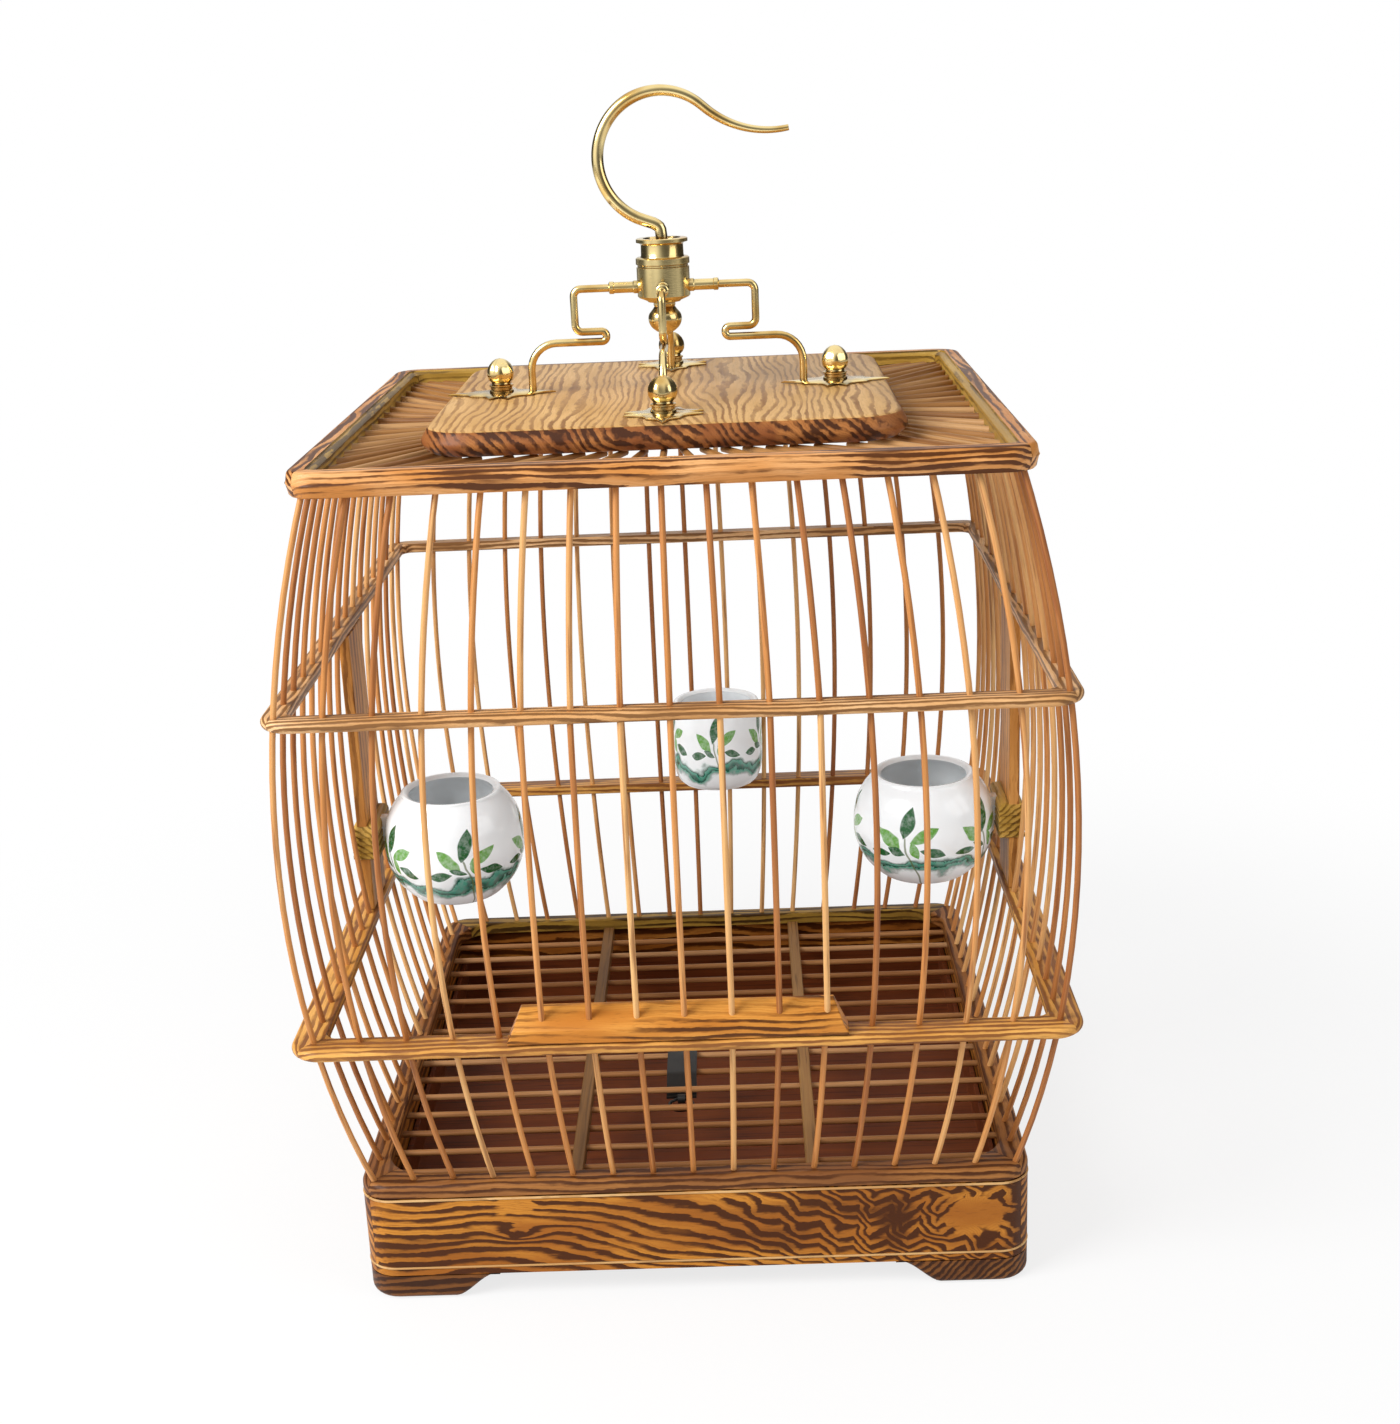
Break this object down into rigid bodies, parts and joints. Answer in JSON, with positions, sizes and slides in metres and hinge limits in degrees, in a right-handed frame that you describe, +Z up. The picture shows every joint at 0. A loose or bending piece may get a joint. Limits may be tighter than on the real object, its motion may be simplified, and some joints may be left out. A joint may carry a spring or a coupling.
{
  "type": "birdcage",
  "caption": "Square wooden birdcage with bellied bars, a lift door, a brass hanging hook, seed cups and a slide-out dirt tray.",
  "frame": {"origin": "on the floor under the middle of the cage", "axes": "+Z up, the lift door faces -Y, +X to the right seen from the front"},
  "size_m": [0.3366, 0.3367, 0.5155],
  "materials": {
    "wood": "polished golden-brown wood with dark figure",
    "dark_wood": "polished dark brown wood",
    "roof_wood": "satin tan wood with fine dark lines",
    "bar_wood": "satin pale cane",
    "grille_wood": "satin pinkish-brown cane",
    "tray_wood": "matt dark maroon paint",
    "brass": "polished",
    "porcelain": "glazed white porcelain",
    "steel": "blackened"
  },
  "bodies": {
    "cage": {"top_frame_front": "wood", "top_frame_right": "wood", "top_frame_back": "wood", "top_frame_left": "wood", "upper_rail_front": "wood", "upper_rail_right": "wood", "upper_rail_back": "wood", "upper_rail_left": "wood", "lower_rail_front": "wood", "lower_rail_right": "wood", "lower_rail_back": "wood", "lower_rail_left": "wood", "base_board_front": "wood", "base_board_left": "wood", "base_board_right": "wood", "cup_bracket_left": "wood", "cup_bracket_right": "wood", "cup_block_back": "wood", "base_rim_front": "dark_wood", "base_rim_right": "dark_wood", "base_rim_back": "dark_wood", "base_rim_left": "dark_wood", "foot_front_left": "dark_wood", "foot_front_right": "dark_wood", "foot_back_left": "dark_wood", "foot_back_right": "dark_wood", "roof_board": "roof_wood", "corner_bar_front_left": "bar_wood", "corner_bar_front_right": "bar_wood", "corner_bar_back_left": "bar_wood", "corner_bar_back_right": "bar_wood", "front_bar_left_1": "bar_wood", "front_bar_left_2": "bar_wood", "front_bar_left_3": "bar_wood", "front_bar_left_4": "bar_wood", "front_bar_right_1": "bar_wood", "front_bar_right_2": "bar_wood", "front_bar_right_3": "bar_wood", "front_bar_right_4": "bar_wood", "floor_grille": "grille_wood", "hub": "brass", "hub_nut": "brass", "hanger_leg_front": "brass", "hanger_leg_right": "brass", "hanger_leg_back": "brass", "hanger_leg_left": "brass", "finial_front": "brass", "finial_right": "brass", "finial_back": "brass", "finial_left": "brass", "grille_clip": "steel"},
    "hook": {"hook": "brass"},
    "lift_door": {"door": "wood"},
    "dirt_tray": {"tray_pan": "tray_wood", "tray_face": "wood", "tray_knob": "brass"},
    "left_cup": {"cup_left": "porcelain"},
    "right_cup": {"cup_right": "porcelain"},
    "back_cup": {"cup_back": "porcelain"},
    "ring": {"clip_ring": "steel"}
  },
  "joints": [
    {"name": "hook_swivel", "type": "hinge", "parent": "cage", "child": "hook", "pos_m": [0, 0, 0.45], "axis": [0, 0, 1], "continuous": true},
    {"name": "door_lift", "type": "hinge", "parent": "cage", "child": "lift_door", "pos_m": [0, 0.4125, 0.213], "axis": [-1, 0, 0], "range_deg": [0, 8.3]},
    {"name": "tray_slide", "type": "slide", "parent": "cage", "child": "dirt_tray", "axis": [0, 1, 0], "range_m": [0, 0.25]},
    {"name": "left_cup_lift", "type": "slide", "parent": "cage", "child": "left_cup", "axis": [0, 0, 1], "range_m": [0, 0.02]},
    {"name": "right_cup_lift", "type": "slide", "parent": "cage", "child": "right_cup", "axis": [0, 0, 1], "range_m": [0, 0.02]},
    {"name": "back_cup_lift", "type": "slide", "parent": "cage", "child": "back_cup", "axis": [0, 0, 1], "range_m": [0, 0.02]},
    {"name": "ring_hinge", "type": "hinge", "parent": "cage", "child": "ring", "pos_m": [-0.0075, -0.0574, 0.0468], "axis": [1, 0, 0], "range_deg": [0, 60]}
  ]
}
